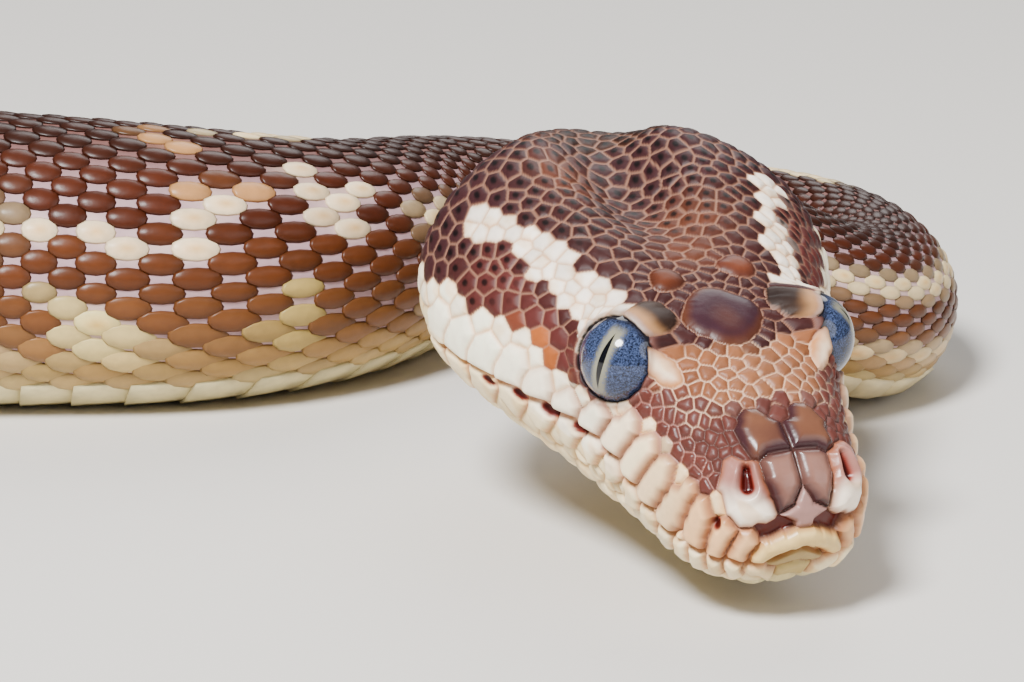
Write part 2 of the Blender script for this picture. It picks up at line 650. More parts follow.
# %% Lay the scales
def lay_scales(name, centres, shape, faces):
    """One piece of scales. `a` runs back along a scale, `b` across it and `c` outwards."""
    distance, turn, length, width = (centres[:, k:k + 1] for k in range(4))
    a, b, c = shape.T
    jitter = rng.uniform(0.96, 1.04, (len(centres), 1))
    oval = 1 + 0.05 * np.abs(2 * a * b)
    grow = step(np.abs(np.degrees(turn)), 88, 118)
    across_it = b * oval * width * (0.77 + 0.21 * grow) * jitter
    along_it = a * oval * length * (0.355 + 0.13 * grow) * jitter
    along_it = along_it - 0.35 * grow * np.sign(turn) * across_it
    s = np.clip(distance + along_it, 0, LENGTH)
    t = turn + across_it / local_radius(distance[:, 0])[:, None]
    height = np.where(c > 0, c, 0.45 * c) * 0.120 * np.sqrt(width * length)
    height = height + (0.02 + 0.03 * grow) * length * a * (c > -0.1)
    keel = 0.012 * length * hump(b, 0.22) * (c > 0.3)
    points, out = skin_at(s.ravel(), t.ravel(), SKIN_DEPTH)
    points = points + out * (height + keel).reshape(-1, 1)
    points[:, 2] = np.maximum(points[:, 2], 0.03)

    level = np.zeros(len(centres))
    tone = markings(centres[:, 0], centres[:, 1], level, level)
    tone = tone * rng.uniform(0.86, 1.12, (len(centres), 1))
    tone = tone * (1 - 0.30 * rng.uniform(0, 1, (len(centres), 1)) * np.array([0.6, 1.0, 1.3])
                   * step(np.abs(turn), 1.75, 2.05))
    middle = 1 - step(np.hypot(a, b), 0.1, 0.8)
    pale = step(tone.sum(1), 1.2, 1.6)[:, None, None] * middle[None, :, None]
    rim = np.clip(np.hypot(a, b), 0, 1) ** 3 * (c > -0.2)
    shade = (1.08 - 0.30 * rim) * (1 - 0.22 * np.clip(a, -1, 0) ** 2)
    colour = tone[:, None, :] * shade[None, :, None] * (1 - 0.38 * pale * np.array([0.5, 1.0, 1.6]))
    u = (turn + math.pi) / (2 * math.pi) + PATCH * b
    low, high = distance.min(), distance.max() + 1
    joined(name, points, faces, u, (distance - low) / (high - low) + PATCH * a, colour)


lattices = [scale_rows(*zone) for zone in ZONES]
front = lattices[0][:, 0] < FINE_UNTIL
lattices[:1] = [lattices[0][front], lattices[0][~front]]
for number, centres in enumerate(lattices):
    shape, faces = template(8, 4) if number else template(12, 6)
    most = MOST_TRIANGLES // sum(len(f) - 2 for f in faces)
    for piece in range(0, len(centres), most):
        lay_scales("scales_%d_%d" % (number + 1, piece // most + 1), centres[piece:piece + most],
                   shape, faces)
print("scales", sum(len(centres) for centres in lattices))

# %% [markdown]
# ## Belly plates
# A belly plate is a thin curved strip from flank to flank. Its rear edge is the free one and
# overlaps the plate behind.

# %% Belly plates
BELLY_START, BELLY_END = 58.0, LENGTH - 8
bm = bmesh.new()
bmesh.ops.create_grid(bm, x_segments=12, y_segments=2, size=1.0)
bmesh.ops.solidify(bm, geom=list(bm.faces), thickness=0.1)
plate_points, plate_faces = points_and_faces(bm)
belly, distance = [], BELLY_START
while distance < BELLY_END:
    share = np.interp(distance, [0, 1440, 1570, 1690, 1800], [0.33, 0.33, 0.36, 0.42, 0.55])
    belly.append((distance, float(local_radius(distance)[0]) * share))
    distance += belly[-1][1]
distance, pitch = np.array(belly).T[:, :, None]
b, a, c = plate_points.T
s = np.clip(distance + a * pitch * 0.56 - 0.25 * pitch * b ** 2, 0, LENGTH)
t = math.pi + b * (math.pi - HALF_COAT + 0.10) * np.ones_like(s)
points, out = skin_at(s.ravel(), t.ravel(), SKIN_DEPTH)
outer = (c - c.min()) / np.ptp(c) > 0.5
points = points + out * (np.where(outer, 0.42 + 0.18 * a, -0.2) * np.ones_like(s)).reshape(-1, 1)
points[:, 2] = np.maximum(points[:, 2], 0.0)
tone = mix(BELLY, CREAM, 0.5 + 0.5 * drift(distance / 30, 0, 41))
tone = tone * (1 - 0.12 * np.abs(a) ** 3)[None, :, None]
along_map = (distance - BELLY_START) / (LENGTH - BELLY_START) + PATCH * a
joined("belly_plates", points, plate_faces, 0.5 + PATCH * b * np.ones_like(s), along_map, tone)

# %% [markdown]
# ## The head's coat
# The scales of the head meet edge to edge, so they are made as a fine mesh that is pushed in
# where two scales meet. It is worked out on a straight head, in distance back, side and rise,
# and then laid on the course. First the fine grid, which is cut into four rings afterwards,
# because one mesh should not carry more than about 200,000 triangles.

# %% A fine grid on the straight head
HEAD_END, HEAD_COLUMNS, CAP_ROWS = 64.0, 560, 15
ROW_GAPS = ([0, 16, 30, 48, 64], [0.145, 0.135, 0.15, 0.15, 0.24])  # by distance: millimetres
CAP_BOW = 0.5
fine_at = np.linspace(0.0, HEAD_END, 1601)
profile = np.column_stack([fine_at, smooth_table(fine_at, SECTIONS)[:, 0]])
run = np.concatenate([[0], np.cumsum(np.hypot(*np.diff(profile, axis=0).T))])
row_gap = np.interp(fine_at, *ROW_GAPS)
count_at = np.concatenate([[0], np.cumsum(np.diff(run) / row_gap[1:])])
back_rows = np.interp(np.arange(0, count_at[-1]), count_at, fine_at)
head_at = np.concatenate([np.zeros(CAP_ROWS), back_rows, [HEAD_END]])
head_fill = np.concatenate([np.linspace(0, 1, CAP_ROWS + 1)[:-1], np.ones(len(back_rows) + 1)])
grid_turn = np.linspace(-1, 1, HEAD_COLUMNS + 1)
grid_turn = math.pi * (0.84 * grid_turn + 0.16 * grid_turn ** 5)
GRID = (len(head_at), HEAD_COLUMNS + 1)
every, fill = (np.repeat(values, GRID[1]) for values in (head_at, head_fill))
turns = np.tile(grid_turn, GRID[0])
side, rise = section(every, turns, along(every), 0.0)
bow = np.where(every < 1e-6, -CAP_BOW * (1 - fill ** 2), 0.0)
straight = np.column_stack([every + bow, side * fill, TIP_RISE + (rise - TIP_RISE) * fill])
back, aside, high = straight.T


def grid_normals(points):
    """Outward directions of a grid of points that closes on itself sideways."""
    points = points.reshape(*GRID, 3)
    lengthwise = np.gradient(points, axis=0)
    ring = np.concatenate([points[:, -2:-1], points, points[:, 1:2]], 1)
    out = unit(np.cross(lengthwise, (ring[:, 2:] - ring[:, :-2]) / 2))
    probe = GRID[0] // 2
    if (out[probe] * (points[probe] - points[probe, :-1].mean(0))).sum() < 0:
        out = -out
    out[0] = unit(out[2].mean(0))
    return out.reshape(-1, 3)


outward = grid_normals(straight)
print("head grid", GRID)

# %% [markdown]
# ## Plates and small scales
# The big plates of a python's head have fixed places: the rostral at the tip, two pairs of
# plates behind it, the nasals with the nostrils, one large frontal, and the rows of lip
# plates. Each is told by a few discs that it covers: distance, side, rise and radius.
# Everywhere else small scales are thrown down at random, no closer than their size allows.

# %% Plates by the discs they cover
def both(*discs):
    """Each disc and its mirror image."""
    return [(s, way * y, z, radius) for s, y, z, radius in discs for way in (1, -1)]


SINGLE = {
    "rostral_top": [(0.9, 0, 6.0, 0.55), *both((0.5, 1.3, 5.2, 0.42)), (0.4, 0, 5.0, 0.60),
                    (0.2, 0, 4.3, 0.45)],
    "rostral_bar": [(-0.35, 0, 2.8, 0.95), *both((-0.3, 1.0, 2.5, 0.95), (-0.1, 2.1, 2.0, 0.90),
                                                 (0.1, 3.1, 1.1, 0.80), (0.3, 3.9, 0.4, 0.65))],
    "arch": [(-0.4, 0, 0.7, 0.60), *both((-0.35, 1.2, 0.4, 0.55), (-0.2, 2.2, 0.0, 0.40))],
    "mental": [(0.3, 0, -1.9, 0.8), *both((0.6, 0.9, -2.2, 0.7))],
    "frontal": [(21.3, -0.4, 12.5, 3.7), (21.0, -1.9, 12.4, 2.6), (21.6, 1.2, 12.5, 2.5),
                (22.8, -0.4, 12.7, 2.6), (19.9, -0.6, 12.3, 2.7)],
    "parietal": [(27.4, -3.3, 12.8, 1.7), (26.8, -4.0, 12.7, 1.2)],
    "parietal_left": [(28.1, 4.4, 12.7, 1.8), (28.3, 3.4, 12.8, 1.2)]}
PAIRED = {
    "recess": [(0.2, 1.9, 3.95, 0.34), (0.3, 3.0, 3.30, 0.34), (0.6, 4.3, 3.05, 0.25)],
    "internasal": [(3.8, 2.0, 8.6, 0.95), (2.5, 1.9, 7.6, 1.05), (1.6, 1.7, 6.7, 0.90),
                   (1.1, 1.8, 6.1, 0.60)],
    "prefrontal": [(8.8, 2.7, 10.4, 1.4), (7.7, 2.6, 10.1, 1.5), (6.7, 2.1, 9.7, 1.2),
                   (6.5, 3.5, 9.4, 1.1), (8.0, 3.7, 9.9, 1.1), (7.6, 1.1, 10.0, 0.8)],
    "nasal": [(5.4, 6.1, 7.8, 1.1), (4.4, 6.6, 6.6, 1.2), (3.0, 6.4, 5.6, 1.4),
              (1.8, 5.5, 4.8, 1.4), (1.2, 4.3, 5.2, 1.1), (2.3, 4.9, 6.6, 1.0),
              (4.2, 5.0, 7.9, 0.7)],
    "upper_lip": [(0.8, 5.1, 2.4, 0.7), (0.9, 5.5, 1.4, 0.8), (1.1, 5.8, 0.2, 0.8)],
    "upper_lip_2": [(2.4, 7.3, 2.3, 0.8), (2.6, 7.6, 0.9, 0.9), (2.8, 7.6, -0.4, 0.8)],
    "upper_lip_3": [(5.0, 8.7, 3.7, 0.7), (4.8, 8.8, 2.6, 0.8), (4.6, 8.8, 1.2, 0.9),
                    (4.4, 8.7, -0.2, 0.8)],
    "preocular": [(19.4, 8.2, 10.6, 0.9), (18.4, 8.1, 10.5, 1.15), (17.4, 8.0, 10.3, 1.25),
                  (16.4, 7.9, 10.1, 1.1), (15.7, 7.7, 10.1, 0.8)],
    "supraocular": [(23.7, 6.4, 12.0, 1.15), (22.6, 6.3, 12.0, 1.35), (21.5, 6.3, 11.8, 1.15)],
    "purple": [(10.6, 3.9, 10.3, 0.8)]}
UPPER_LIPS = [7.9, 11.0, 13.6, 16.5, 19.8, 23.3, 26.7, 30.0, 33.4, 37.0, 40.6]
LOWER_LIPS = [0.5, 1.4, 2.7, 4.4, 6.3, 8.6, 11.0, 13.6, 16.4, 19.4, 22.6, 26.0, 29.6, 33.4, 37.4,
              41.2]
MOUTH = ([0, 1.4, 3.6, 5.7, 8, 9.3, 10.3, 12.5, 14.2, 15.2, 17.8, 21.4, 25.2, 28, 33, 38, 43],
         [-.5, -.6, -1.1, -1.3, -1.9, -2.0, -1.5, -.9, -.2, .4, 1.0, .8, .3, -.2, -1.1, -2, -2.8])


def flank_at(distance, rise):
    """Half width of the head at that height."""
    half, top, depth = smooth_table(np.array([float(distance)]), SECTIONS)[0]
    share = min(abs(rise) / (top if rise > 0 else depth), 0.999)
    power = float(squareness(distance, rise > 0))
    return half * (1 - share ** power) ** (1 / power)


def lip_plates(way):
    """Upper and lower lip plates of one side, each a stack of discs between lip and mouth."""
    made = []
    for s in UPPER_LIPS:
        top = float(np.interp(s, *LIP_EDGE)) - (1.1 if s > 22 else 0.1)
        low, radius = float(np.interp(s, *MOUTH)), 0.85 + 0.012 * s
        made.append(("upper_lip", [
            (s + 0.30 * ((top + low) / 2 - z), way * flank_at(s, z), z, radius)
            for z in np.linspace(low + radius, top - radius, 4)]))
    for s in LOWER_LIPS:
        low, radius = float(np.interp(s, *MOUTH)), 0.75 + 0.012 * s
        made.append(("lower_lip", [
            (s + 0.2 * k, way * max(flank_at(s, low - drop), 2.2), low - drop, radius)
            for k, drop in enumerate((0.9, 1.9 + 0.03 * s))]))
    return made


plates = list(SINGLE.items())
for name, discs in PAIRED.items():
    plates += [(name, [(s, way * y, z, radius) for s, y, z, radius in discs]) for way in (1, -1)]
plates += lip_plates(1) + lip_plates(-1)
seeds = np.array([d[:3] for _, discs in plates for d in discs], float)
sizes = np.array([d[3] for _, discs in plates for d in discs])
groups = np.array([n for n, (_, discs) in enumerate(plates) for _ in discs])
names = [name for name, _ in plates]
print(len(plates), "plates of", len(seeds), "discs")


# %% Rows of small scales round the eyes and the large plates of the crown
GAZE = {way: unit(np.array([-0.35, way * 0.86, 0.37])) for way in (1, -1)}
EYES = {way: np.array([EYE_AT[0], way * EYE_AT[1], EYE_AT[2]]) for way in (1, -1)}
RING_SCALE, RING_COUNT, RING_RADIUS = 0.75, 17, 5.0


def add_seed(name, spot, size, least):
    """One more small scale, unless its middle is nearer than `least` to a disc."""
    global seeds, sizes, groups, names
    if (np.linalg.norm(seeds - spot, axis=1) - sizes).min() > least:
        seeds, sizes = np.vstack([seeds, spot]), np.append(sizes, size)
        groups, names = np.append(groups, len(names)), names + [name]


def ring_round(name, middle, count, size):
    """Small scales along the outline of a plate's discs, seen from above."""
    discs = np.array(dict(plates)[name])
    offset = discs[:, :2] - middle
    for angle in np.arange(count) * 2 * math.pi / count:
        ray = np.array([math.cos(angle), math.sin(angle)])
        ahead = offset @ ray
        inside = discs[:, 3] ** 2 - (offset ** 2).sum(1) + ahead ** 2
        far = (ahead + np.sqrt(np.maximum(inside, 0)))[inside > 0].max() + size * 0.95
        spot = (middle[0] + far * ray[0], middle[1] + far * ray[1], 12.6 - 0.02 * far ** 2)
        add_seed("small", spot, size, size * 0.6)


for way in (1, -1):
    first = unit(np.cross(GAZE[way], (1.0, 0, 0)))
    second = np.cross(GAZE[way], first)
    for angle in np.arange(0, 2 * math.pi, 2 * math.pi / RING_COUNT):
        round_it = RING_RADIUS * (math.cos(angle) * first + math.sin(angle) * second)
        add_seed("eye_ring", EYES[way] + 1.4 * GAZE[way] + round_it, RING_SCALE, RING_SCALE)
ring_round("frontal", (21.4, -0.4), 19, 0.72)
ring_round("parietal", (27.2, -3.5), 12, 0.72)
ring_round("parietal_left", (28.1, 4.1), 12, 0.75)
fixed = len(seeds)
print("seeds with the rings", fixed)


# %% Small scales between the plates
SCALE_SIZE = ([0, 9, 16, 19, 24, 30, 38, 46, 60],  # by distance: radius on the crown
              [0.5, 0.62, 0.72, 0.72, 0.76, 0.90, 0.88, 0.84, 0.90])
CHEEK_SIZE = ([0, 8, 18, 24, 30, 44, 60], [0.5, 0.58, 0.62, 0.75, 0.95, 1.1, 1.1])
NOSE_REAR = ([3.5, 5.0, 6.4, 8.0, 9.0], [3.0, 4.2, 5.5, 6.9, 6.9])  # by rise: distance
TRIES, MOST_SEEDS = 42000, 5000


def small_size(distance, turn):
    """Radius of a small scale there, in millimetres."""
    degrees = np.abs(np.degrees(turn))
    size = np.interp(distance, *SCALE_SIZE)
    size = np.where(degrees > 45, np.interp(distance, *CHEEK_SIZE), size)
    stripe = ((degrees > np.interp(distance, *STRIPE_TOP) - 1) & (distance > 19)
              & (degrees < np.interp(distance, *STRIPE_LOW) + 1) & (distance < 46))
    size = np.where(stripe, size * 0.74, size)
    return np.where(degrees > 110, 1.3, size)


def is_plated(points):
    """Where only the big plates lie: the nose, the snout in front of the tan band, the lips."""
    s, y, z = points[:, 0], np.abs(points[:, 1]), points[:, 2]
    nose = s < np.interp(z, *NOSE_REAR)
    snout = (s < 10.2) & (y < 4.7) & (z > 8.0)
    lip_top = np.interp(s, *LIP_EDGE) - np.interp(s, [0, 22, 26], [0.1, 0.2, 1.3])
    mouth = np.interp(s, *MOUTH)
    lips = (z < lip_top) & (z > mouth - 2.6 - 0.03 * s) & (s < 42)
    return (nose & (z > -3.5)) | snout | lips


chance = np.random.RandomState(11)
order = chance.permutation(len(straight))[:TRIES]
order = order[(fill[order] > 0.99) & ~is_plated(straight[order])]
reach = small_size(every[order], turns[order]) * chance.uniform(0.86, 1.1, len(order))
cloud, cloud_size = np.zeros((MOST_SEEDS, 3)), np.zeros(MOST_SEEDS)
cloud[:fixed], cloud_size[:fixed] = seeds, sizes
filled = fixed
for spot, size in zip(straight[order], reach):
    gap = np.linalg.norm(cloud[:filled] - spot, axis=1) - 0.88 * (cloud_size[:filled] + size)
    if gap.min() > 0:
        cloud[filled], cloud_size[filled] = spot, size
        filled += 1
seeds, sizes = cloud[:filled].copy(), cloud_size[:filled].copy()
groups = np.concatenate([groups, np.arange(len(names), len(names) + filled - fixed)])
names += ["small"] * (filled - fixed)
print("small scales", filled - fixed)


# %% Which scale a place belongs to
HOLD = {"frontal": 4.0, "parietal": 4.0, "parietal_left": 4.0, "supraocular": 4.0, "preocular": 2.5}
hold = np.array([HOLD.get(names[group], 1.0) for group in groups])
held = np.flatnonzero(hold > 1)


def nearest(points):
    """(seed, distance to the line between its plate and the next one).

    Outside its own disc a plate of HOLD loses quickly, so that its outline stays round."""
    best, edge = [], []
    for start in range(0, len(points), 4000):
        part = points[start:start + 4000].astype(np.float32)
        power = (((part ** 2).sum(1)[:, None] + (seeds ** 2).sum(1)[None] - 2 * part @ seeds.T)
                 - (sizes ** 2)[None])
        power[:, held] *= np.where(power[:, held] > 0, hold[held], 1)
        one, each = power.argmin(1), np.arange(len(part))
        lowest = power[each, one]
        power[groups[None, :] == groups[one][:, None]] = 1e9
        two = power.argmin(1)
        beyond = power[each, two]
        steep = ((part - seeds[two]) * np.where(beyond > 0, hold[two], 1)[:, None]
                 - (part - seeds[one]) * np.where(lowest > 0, hold[one], 1)[:, None])
        best.append(one)
        edge.append((beyond - lowest) / (2 * np.maximum(np.linalg.norm(steep, axis=1), 0.3)))
    return np.concatenate(best), np.concatenate(edge)


SAMPLE = straight[::7]
for _ in range(6):  # each small scale moves to the middle of what it owns
    best, _ = nearest(SAMPLE)
    number = np.bincount(best, minlength=len(seeds))
    total = np.zeros((len(seeds), 3))
    np.add.at(total, best, SAMPLE)
    free = (np.arange(len(seeds)) >= fixed) & (number > 0)
    seeds[free] = (total / np.maximum(number, 1)[:, None])[free]
best, edge = nearest(straight)
print("scales of the head", len(np.unique(groups[best])))

# %% [markdown]
# The distance to the next plate has to be smooth for a plate to look like one pillow, also
# where it is told by several discs. So the seams are found first, as points where two
# neighbours of the grid belong to different plates, and each place asks for its nearest one.

# %% Distance of every place to its nearest seam
owner = groups[best].reshape(GRID)
edges, places = edge.reshape(GRID), straight.reshape(*GRID, 3)
seam_points = []
for near, far in ((np.s_[:-1, :], np.s_[1:, :]), (np.s_[:, :-1], np.s_[:, 1:])):
    differ = owner[near] != owner[far]
    first, second = edges[near][differ], edges[far][differ]
    share = (first / np.maximum(first + second, 1e-6))[:, None]
    seam_points.append(places[near][differ] * (1 - share) + places[far][differ] * share)
seam_points = np.concatenate(seam_points)
tree = KDTree(len(seam_points))
for number, spot in enumerate(seam_points):
    tree.insert(spot, number)
tree.balance()
from_seam = np.array([tree.find(spot)[2] for spot in straight])
edge = np.where(from_seam < 0.3, edge + (from_seam - edge) * from_seam / 0.3, from_seam)
print("scales meet along", len(seam_points), "grid points")

# %% [markdown]
# ## Relief and colour of the head
# A scale is a low pillow: highest in the middle and rounded down to the seam. The nostrils,
# the heat pits of the lips and the line of the mouth are pressed in, and the skin round each
# eye is drawn up to a clean round rim.

# %% Relief: how high each kind of plate stands, and how wide its edge is rounded
PILLOW = {"nasal": (1.10, 1.9), "internasal": (0.95, 1.3), "prefrontal": (0.90, 1.5),
          "rostral_top": (0.75, 0.5), "rostral_bar": (1.20, 0.95), "recess": (-0.35, 0.4),
          "arch": (0.45, 0.7), "mental": (0.60, 0.8), "frontal": (0.72, 2.2),
          "parietal": (0.62, 1.4), "parietal_left": (0.62, 1.5), "supraocular": (0.75, 1.2),
          "preocular": (0.50, 0.8), "purple": (0.55, 0.7), "eye_ring": (0.42, 0.6),
          "lower_lip": (0.95, 0.95), "upper_lip": (1.05, 1.15), "upper_lip_2": (1.05, 1.0),
          "upper_lip_3": (1.05, 1.1)}
SUNK = ([0, 8, 16, 28, 60], [1.15, 1.12, 0.85, 0.62, 0.60])  # by distance: depth of the seams
plate_name = np.array(names)[groups[best]]
size = sizes[best]
big = plate_name != "small"
tall, round_by = (0.12 + 0.20 * size) * (1.4 - 0.4 * step(every, 20, 26)), size * 1.0
for name, (stands, rounded) in PILLOW.items():
    chosen = plate_name == name
    tall[chosen], round_by[chosen] = stands, rounded
loose = 1 - 0.45 * step(every, 18, 32) * np.isin(plate_name, ("upper_lip", "lower_lip"))
rounding = np.clip(edge / round_by, 0, 1)
pillow = (1 - (1 - rounding) ** 2) ** np.where(big, 0.62, 0.85)
push = tall * loose * pillow - np.interp(every, *SUNK)
print("tallest plate", tall.max(), "mm")

# %% The line of the mouth
MOUTH_ARCH, ARCH_WIDTH = 1.9, 2.3
mouth_line = np.interp(back, *MOUTH)
mouth_line += MOUTH_ARCH * hump(aside, ARCH_WIDTH) * (1 - step(back, 0.3, 1.6))
from_mouth = high - mouth_line
seam = hump(from_mouth, 0.28) * (1 - step(back, 42, 45))
push -= 0.50 * seam
push -= 0.30 * step(-from_mouth, 0.0, 0.4) * between(every, 8, 16, 26, 44)

# %% Heat pits and nostrils
PITS = [  # middle, lengthwise and upward radius, depth
    ((3.2, 7.9, 2.75), 0.55, 0.60, 0.7), ((17.7, 12.3, 0.65), 0.75, 0.55, 0.6),
    ((21.3, 13.4, 0.30), 1.00, 0.60, 0.7), ((25.1, 14.8, -0.25), 1.20, 0.62, 0.7),
    ((28.8, 16.2, -0.9), 1.00, 0.50, 0.6), ((32.6, 17.6, -1.75), 0.9, 0.45, 0.5)]
NOSTRIL_TOP, NOSTRIL_BOTTOM = np.array([4.5, 5.0, 8.00]), np.array([3.2, 5.3, 6.85])
NOSTRIL_WIDTH, NOSTRIL_DEPTH = 0.58, 1.05
hole = np.zeros(len(straight))
for way in (1, -1):
    for (s, y, z), long_, high_, deep in PITS:
        offset = straight - (s, way * y, z)
        wide = np.hypot(offset[:, 0], offset[:, 1] * 0.6) / long_
        inside = np.exp(-(wide ** 2 + (offset[:, 2] / high_) ** 2) ** 1.5)
        hole = np.maximum(hole, inside)
        push -= deep * inside
    top = NOSTRIL_TOP * (1, way, 1)
    slope = NOSTRIL_BOTTOM * (1, way, 1) - top
    share = np.clip((straight - top) @ slope / (slope @ slope), 0, 1)
    apart = np.linalg.norm(straight - top - share[:, None] * slope, axis=1) / NOSTRIL_WIDTH
    apart = apart / (0.8 + 0.5 * share)
    inside = np.exp(-apart ** 3)
    hole = np.maximum(hole, inside)
    push += 0.22 * hump(apart - 1.7, 0.6) - NOSTRIL_DEPTH * inside
fade = step(back, 58, 63)
push = push * (1 - fade) - 1.3 * fade
coat = straight + outward * push[:, None]
print("pits", 2 * len(PITS), "deepest place", push.min().round(2), "mm")


# %% Lay the head's coat on the course
def lay(points):
    """Straight head places to places on the bent course."""
    row = along(np.maximum(points[:, 0], 0))
    ahead = np.minimum(points[:, :1], 0) * TANGENT[0]
    return row[:, :3] + ahead + points[:, 1:2] * row[:, SIDEWAYS] + points[:, 2:] * row[:, UPWARD]


coat = lay(coat)
print("coat from", coat.min(0).round(1), "to", coat.max(0).round(1))

# %% [markdown]
# The rim of an eye works like a sheet of rubber over a ring. Round the gaze the height of the
# skin is read at the ring, and the skin near it is drawn up or down by what is missing there,
# less and less with distance. Inside the ring it dives under the eyeball.

# %% The rims of the eyes
RIM, RIM_REACH, RIM_PARTS = 3.95, 2.8, 40
HEAD_AXES = np.array([TANGENT[0], LEFT[0], UP[0]])


def draw_rim(points, way):
    """(points moved along one eye's gaze to a clean round rim, their distance from the gaze)."""
    eye, gaze = head_place(*EYES[way]), GAZE[way] @ HEAD_AXES
    first = unit(np.cross(gaze, UP[0]))
    second = np.cross(gaze, first)
    away = points - eye
    out = away @ gaze
    flat = away - out[:, None] * gaze
    wide = np.linalg.norm(flat, axis=1)
    angle = np.arctan2(flat @ second, flat @ first)
    on_ring = (np.abs(wide - RIM) < 0.35) & (out > -1.5)
    part = ((angle + math.pi) / (2 * math.pi) * RIM_PARTS).astype(int) % RIM_PARTS
    found = np.array([out[on_ring & (part == k)].mean() for k in range(RIM_PARTS)])
    found = np.convolve(np.tile(found, 3), np.ones(5) / 5, "same")[RIM_PARTS:2 * RIM_PARTS]
    turn = (np.arange(-1, RIM_PARTS + 1) + 0.5) / RIM_PARTS * 2 * math.pi - math.pi
    natural = np.interp(angle, turn, np.concatenate([found[-1:], found, found[:1]]))
    lip = math.sqrt(EYE_RADIUS ** 2 - RIM ** 2) + 0.10
    reach = np.hypot(np.maximum(wide - RIM, 0), (out - natural) * (wide > RIM))
    weight = (1 - step(reach, 0, RIM_REACH)) * (out > -2.5)
    outer = out + (lip - natural) * weight + 0.16 * hump(wide - RIM - 0.35, 0.28)
    ball = np.sqrt(np.maximum(EYE_RADIUS ** 2 - wide ** 2, 0)) - 0.9
    ease = step(wide, RIM - 0.3, RIM + 0.05)
    near = (wide < RIM + 4.0) & (out > -2.5)
    moved = np.where(near, ball * (1 - ease) + outer * ease - out, 0)
    return points + moved[:, None] * gaze, np.where(near, wide, 99.0)


coat, wide_left = draw_rim(coat, 1)
coat, wide_right = draw_rim(coat, -1)
wide = np.minimum(wide_left, wide_right)
print("grid points on the rims", int((np.abs(wide - RIM) < 0.2).sum()))

# %% Colours of the plates
at_seed = seeds[best]
turn_here, turn_seed = (np.arctan2(place[:, 1], place[:, 2]) for place in (straight, at_seed))
degrees = np.abs(np.degrees(turn_here))
tone_cell = head_markings(at_seed[:, 0], turn_seed, at_seed[:, 1], at_seed[:, 2])
tone_here = head_markings(back, turn_here, aside, high)
shades = np.random.RandomState(5).uniform(0.84, 1.14, len(names))[groups[best]][:, None]
tone = mix(tone_here, tone_cell, np.where(big, 0.35, 1.0)) * shades
blotch = drift(back / 2.2, aside / 2.2, 51)
rim_of = step(edge, 1.3, 0.1)
PATTERNED = {  # colour in the middle, colour at the rim, share of the second
    "frontal": (rgb(50, 27, 34), rgb(82, 44, 26), rim_of * 0.8 + 0.25 * blotch),
    "parietal": (rgb(90, 42, 20), rgb(56, 26, 18), 0.6 * rim_of + 0.1 + 0.2 * blotch),
    "parietal_left": (rgb(100, 50, 30), rgb(60, 28, 24), 0.6 * rim_of + 0.1 + 0.2 * blotch),
    "supraocular": (rgb(52, 34, 24), rgb(30, 18, 14), 0.3 + 0.5 * blotch),
    "preocular": (rgb(250, 224, 192), rgb(188, 124, 74), 0.1 + 0.3 * blotch + 0.8 * rim_of),
    "prefrontal": (rgb(104, 66, 48), rgb(56, 31, 34), rim_of + 0.1 + 0.4 * blotch),
    "internasal": (rgb(128, 90, 78), rgb(58, 32, 32), rim_of * 0.9 + 0.3 * blotch),
    "nasal": (rgb(255, 236, 214), rgb(156, 106, 96), step(high + 0.4 * blotch, 5.3, 7.1)),
    "rostral_bar": (rgb(218, 184, 118), rgb(164, 98, 48), step(edge, 0.5, 0.05) * 0.8)}
PLAIN = {"rostral_top": rgb(150, 112, 104), "recess": rgb(84, 20, 10), "arch": rgb(160, 134, 84),
         "purple": rgb(92, 54, 46), "mental": rgb(176, 152, 92)}
for name, pair in PATTERNED.items():
    chosen = plate_name == name
    tone[chosen] = mix(*pair)[chosen]
for name, colour in PLAIN.items():
    tone[plate_name == name] = colour
lid = plate_name == "supraocular"
for colour, near, far in ((rgb(160, 116, 76), 4.6, 5.2), (rgb(226, 208, 196), 4.2, 4.6)):
    tone = mix(tone, colour * (1 + 0.2 * blotch[:, None]), lid * (1 - step(wide, near, far)))
lips = np.isin(plate_name, ("upper_lip", "upper_lip_2", "upper_lip_3"))
warm = step(edge, 0.95, 0.1) * (lips | (plate_name == "nasal")) * (1 - step(back, 16, 34))
tone = mix(tone, rgb(222, 164, 108) * shades, 0.75 * lips * (1 - step(back, 5.0, 9.5)))
tone = mix(tone, rgb(150, 84, 50), warm * 0.75)
tone = mix(tone, rgb(196, 122, 66), (plate_name == "lower_lip") * step(edge, 0.5, 0.05) * 0.6)
print("patterned plates", len(PATTERNED) + len(PLAIN))

# %% Lines between the scales, and the spot on each keel
line = np.broadcast_to(rgb(148, 106, 86), tone.shape)
line = mix(line, rgb(222, 180, 148), between(back, 10, 11, 17, 19) * (1 - step(degrees, 44, 50)))
line = mix(line, rgb(46, 22, 18), (back < 10) * step(high, 4.0, 5.0) * 0.9)
line = mix(line, rgb(164, 112, 100), (back < 20) * step(degrees, 44, 52) * step(high, 4.5, 5.5))
light = step(tone.sum(1), 1.15, 1.7)
line = mix(line, tone * (0.66, 0.46, 0.32), light)
line_width = 0.13 + 0.09 * step(every, 22, 38) + 0.08 * lips
tone = mix(tone, line, (1 - step(edge, 0.02, line_width)) * 0.75)
hollow = light * (1 - step(edge, 0.05, 0.50)) * (1 - lips)
tone = mix(tone, tone * (0.84, 0.66, 0.46), 0.40 * hollow)
mottle = light * step(drift(back / 1.4, aside / 1.4 + high, 61), -0.1, 0.9)
tone = mix(tone, tone * (0.86, 0.70, 0.50), 0.55 * mottle * (1 - lips))
from_seed = np.linalg.norm((straight - at_seed) * (0.8, 1, 1), axis=1)
